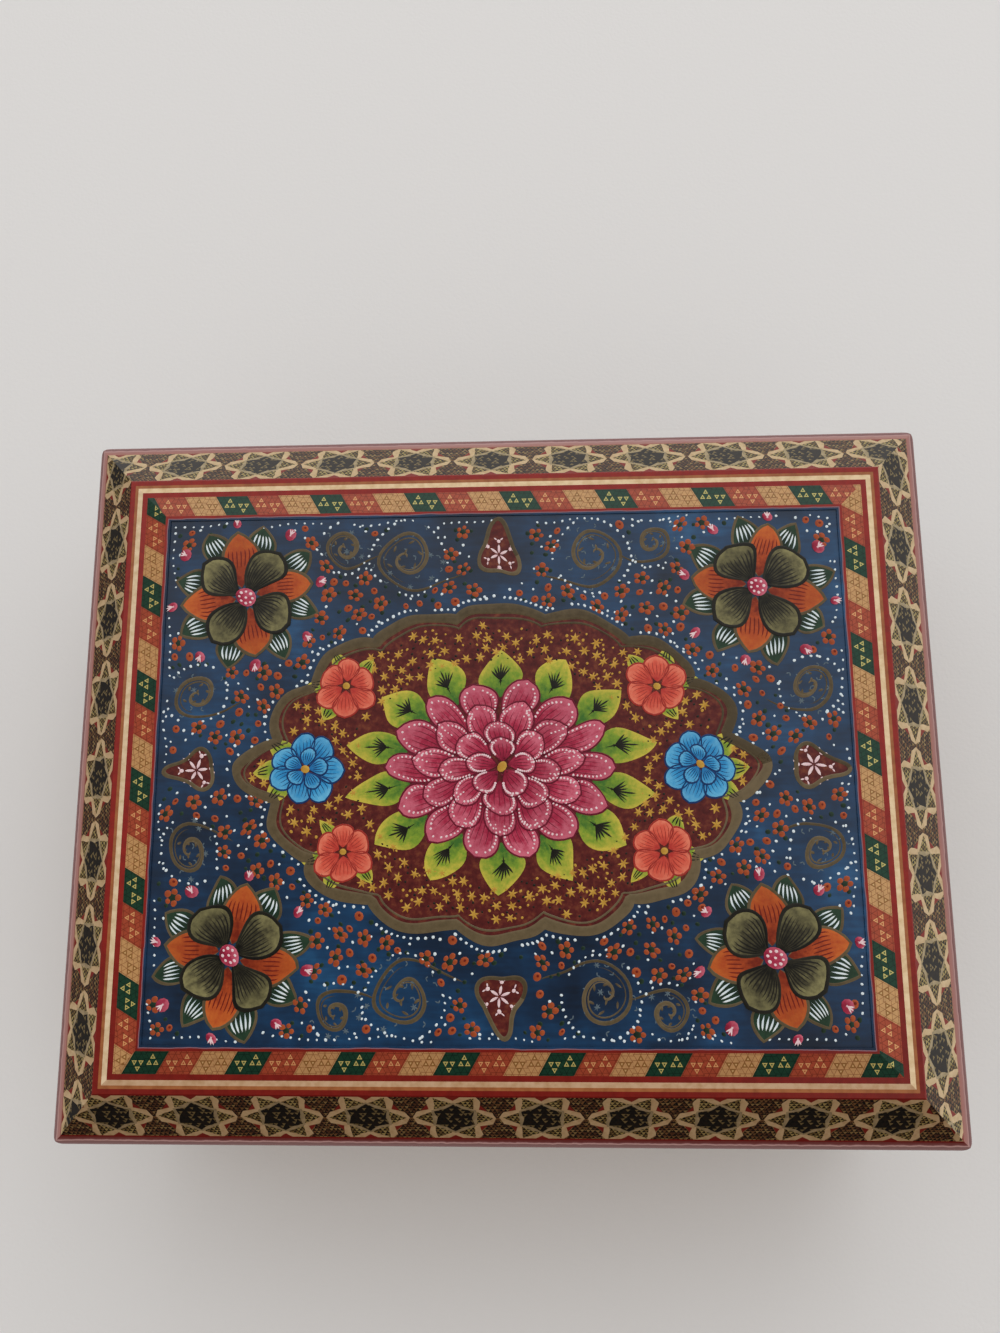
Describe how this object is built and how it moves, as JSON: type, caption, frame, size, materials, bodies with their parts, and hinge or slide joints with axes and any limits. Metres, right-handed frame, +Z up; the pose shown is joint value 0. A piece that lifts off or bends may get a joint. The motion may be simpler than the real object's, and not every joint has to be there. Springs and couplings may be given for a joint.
{
  "type": "marquetry jewellery box",
  "caption": "Low wooden casket covered in star marquetry, with a hinged bevelled lid framing a painted floral panel; holds jewellery.",
  "frame": {"origin": "on the ground, under the middle of the closed box", "axes": "+X to the right along the long side, +Y to the back where the hinges are, +Z up"},
  "size_m": [0.2, 0.1626, 0.08],
  "materials": {
    "carcass_wood": "plain-sawn hardwood, stained and waxed",
    "side_marquetry": "star marquetry sheet under clear varnish",
    "mauve_edging": "dyed wood edging, rounded and varnished",
    "star_ground": "dark hardwood rods, end grain, varnished",
    "bone": "camel bone strips, polished under varnish",
    "stripe_wood": "slanted blocks of dyed wood, varnished",
    "red_wood": "red-dyed wood line, varnished",
    "tan_wood": "orange wood line, varnished",
    "painted_ground": "gouache on a thin panel under clear varnish",
    "velvet": "cotton velvet on card",
    "felt": "pressed wool felt",
    "brass": "pressed and tumbled brass"
  },
  "bodies": {
    "box": {"front_wall": "carcass_wood", "front_panel": "side_marquetry", "front_plinth_strip": "mauve_edging", "front_lining": "velvet", "right_wall": "carcass_wood", "right_panel": "side_marquetry", "right_plinth_strip": "mauve_edging", "right_lining": "velvet", "back_wall": "carcass_wood", "back_panel": "side_marquetry", "back_plinth_strip": "mauve_edging", "back_lining": "velvet", "left_wall": "carcass_wood", "left_panel": "side_marquetry", "left_plinth_strip": "mauve_edging", "left_lining": "velvet", "bottom_board": "carcass_wood", "base_felt": "felt", "floor_lining": "velvet", "left_hinge_box_leaf": "brass", "left_hinge_pin": "brass", "right_hinge_box_leaf": "brass", "right_hinge_pin": "brass", "box_hinge_nails": "brass"},
    "lid": {"lid_front_rail": "carcass_wood", "lid_front_skirt": "side_marquetry", "lid_front_bead": "mauve_edging", "star_band_front": "star_ground", "star_inlay_front": "bone", "stripe_band_front": "stripe_wood", "bone_line_front": "bone", "lid_right_rail": "carcass_wood", "lid_right_skirt": "side_marquetry", "lid_right_bead": "mauve_edging", "star_band_right": "star_ground", "star_inlay_right": "bone", "stripe_band_right": "stripe_wood", "bone_line_right": "bone", "lid_back_rail": "carcass_wood", "lid_back_skirt": "side_marquetry", "lid_back_bead": "mauve_edging", "star_band_back": "star_ground", "star_inlay_back": "bone", "stripe_band_back": "stripe_wood", "bone_line_back": "bone", "lid_left_rail": "carcass_wood", "lid_left_skirt": "side_marquetry", "lid_left_bead": "mauve_edging", "star_band_left": "star_ground", "star_inlay_left": "bone", "stripe_band_left": "stripe_wood", "bone_line_left": "bone", "lid_board": "carcass_wood", "lid_lining": "velvet", "painted_panel": "painted_ground", "red_lines": "red_wood", "tan_lines": "tan_wood", "left_hinge_lid_leaf": "brass", "right_hinge_lid_leaf": "brass", "lid_hinge_nails": "brass"}
  },
  "joints": [
    {"name": "lid_hinge", "type": "hinge", "parent": "box", "child": "lid", "pos_m": [0, 0.07935, 0.055], "axis": [-1, 0, 0], "range_deg": [0, 100]}
  ]
}
